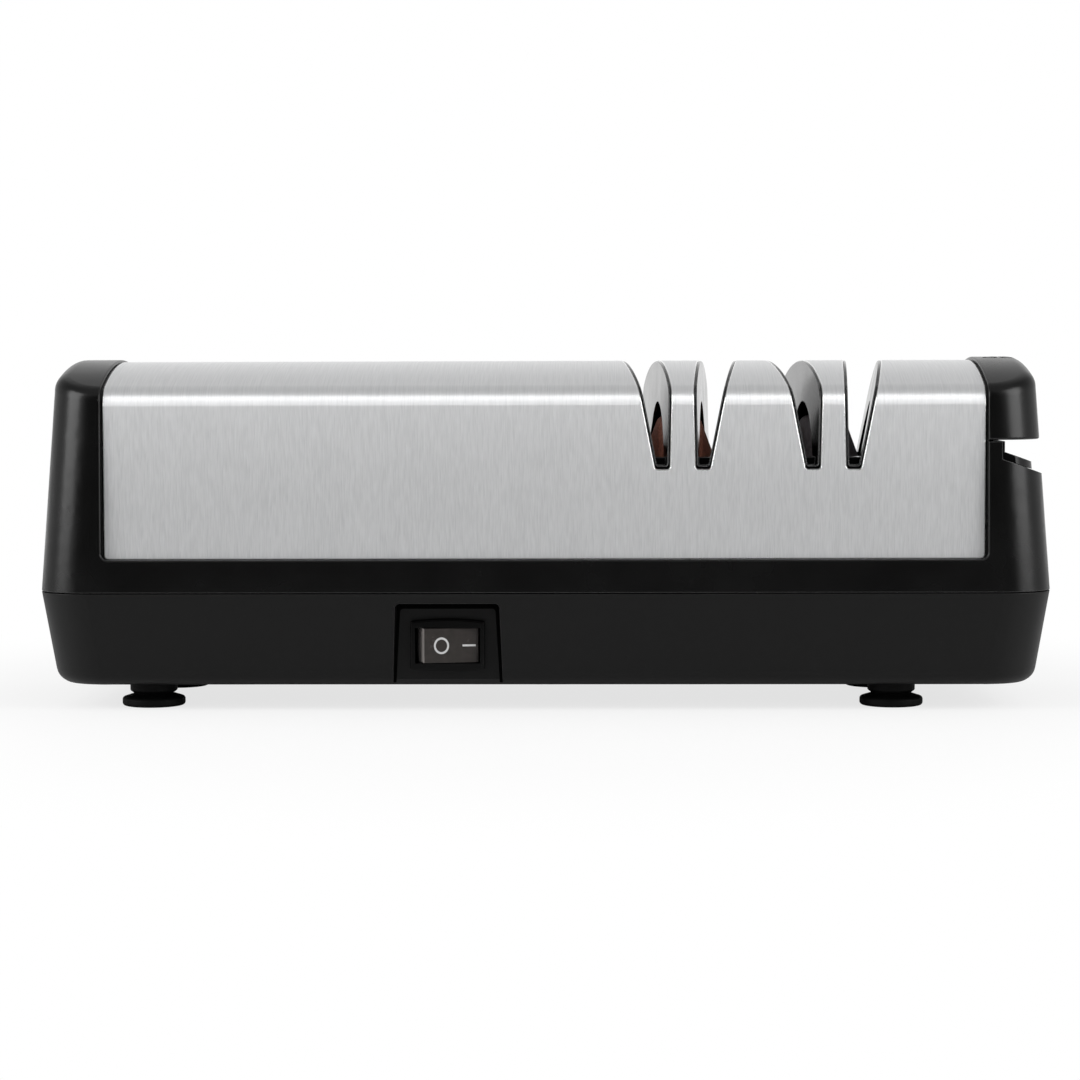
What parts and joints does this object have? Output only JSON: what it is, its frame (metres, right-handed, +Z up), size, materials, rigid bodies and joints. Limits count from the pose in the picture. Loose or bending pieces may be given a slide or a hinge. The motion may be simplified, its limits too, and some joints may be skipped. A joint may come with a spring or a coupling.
{
  "type": "electric knife sharpener",
  "caption": "Bench knife sharpener with a slotted, crowned steel cover over a black housing, motor-driven cone wheels behind V guides, a scissors notch, a rocker switch and suction feet.",
  "frame": {"origin": "centre of the footprint, on the worktop", "axes": "+X along the body towards the scissors end, -Y the front with the switch, +Z up"},
  "size_m": [0.2882, 0.0886, 0.0999],
  "materials": {
    "black_plastic": "satin moulded black",
    "guide_black": "polished black",
    "brushed_cover": "vertically brushed stainless steel",
    "coarse_abrasive": "reddish brown grit",
    "fine_abrasive": "dark grey grit",
    "switch_black": "glossy black",
    "smoked_rocker": "smoked, glossy",
    "foot_rubber": "black rubber",
    "inner_plastic": "dark grey nylon",
    "zinc_steel": "zinc plated",
    "screw_steel": "plated steel",
    "shaft_steel": "ground steel",
    "aluminium": "turned",
    "bronze": "sintered bronze or brass",
    "ferrite": "dull ferrite"
  },
  "bodies": {
    "body": {"base_tray": "black_plastic", "upper_housing": "black_plastic", "steel_cover": "brushed_cover", "scissors_hood": "black_plastic", "scissors_guide": "black_plastic", "coarse_left_guide": "guide_black", "coarse_right_guide": "guide_black", "fine_left_guide": "guide_black", "fine_right_guide": "guide_black", "motor_can": "zinc_steel", "motor_end_bell": "black_plastic", "motor_magnets": "ferrite", "motor_cradle": "inner_plastic", "motor_straps": "zinc_steel", "strap_screws": "screw_steel", "left_bearing_block": "inner_plastic", "right_bearing_block": "inner_plastic", "left_bush": "bronze", "right_bush": "bronze", "block_screws": "screw_steel", "housing_screws": "screw_steel", "hood_screws": "screw_steel", "switch_body": "switch_black", "switch_terminals": "bronze", "cord_gland": "foot_rubber", "front_left_foot": "foot_rubber", "front_right_foot": "foot_rubber", "rear_left_foot": "foot_rubber", "rear_right_foot": "foot_rubber"},
    "drive": {"drive_shaft": "shaft_steel", "shaft_coupling": "aluminium", "motor_rotor": "shaft_steel", "stage_spacer": "aluminium", "scissors_wheel": "fine_abrasive", "coarse_hub": "aluminium", "fine_hub": "aluminium", "coarse_retainers": "screw_steel", "fine_retainers": "screw_steel", "coarse_left_spring": "screw_steel", "coarse_right_spring": "screw_steel", "fine_left_spring": "screw_steel", "fine_right_spring": "screw_steel"},
    "rocker": {"switch_rocker": "smoked_rocker"},
    "coarse_left_wheel": {"coarse_left_core": "inner_plastic", "coarse_left_abrasive": "coarse_abrasive"},
    "coarse_right_wheel": {"coarse_right_core": "inner_plastic", "coarse_right_abrasive": "coarse_abrasive"},
    "fine_left_wheel": {"fine_left_core": "inner_plastic", "fine_left_abrasive": "fine_abrasive"},
    "fine_right_wheel": {"fine_right_core": "inner_plastic", "fine_right_abrasive": "fine_abrasive"}
  },
  "joints": [
    {"name": "drive_spin", "type": "hinge", "parent": "body", "child": "drive", "pos_m": [0, 0, 0.053], "axis": [1, 0, 0], "continuous": true},
    {"name": "rocker_tilt", "type": "hinge", "parent": "body", "child": "rocker", "pos_m": [-0.0271, -0.03513, 0.01875], "axis": [0, 0, 1], "range_deg": [-18, 0]},
    {"name": "coarse_left_slide", "type": "slide", "parent": "drive", "child": "coarse_left_wheel", "axis": [1, 0, 0], "range_m": [0, 0.0015], "stiffness_N_per_m": 2500, "springref_m": -0.001, "deforming": ["coarse_left_spring"]},
    {"name": "coarse_right_slide", "type": "slide", "parent": "drive", "child": "coarse_right_wheel", "axis": [-1, 0, 0], "range_m": [0, 0.0015], "stiffness_N_per_m": 2500, "springref_m": -0.001, "deforming": ["coarse_right_spring"]},
    {"name": "fine_left_slide", "type": "slide", "parent": "drive", "child": "fine_left_wheel", "axis": [1, 0, 0], "range_m": [0, 0.0015], "stiffness_N_per_m": 2500, "springref_m": -0.001, "deforming": ["fine_left_spring"]},
    {"name": "fine_right_slide", "type": "slide", "parent": "drive", "child": "fine_right_wheel", "axis": [-1, 0, 0], "range_m": [0, 0.0015], "stiffness_N_per_m": 2500, "springref_m": -0.001, "deforming": ["fine_right_spring"]}
  ]
}
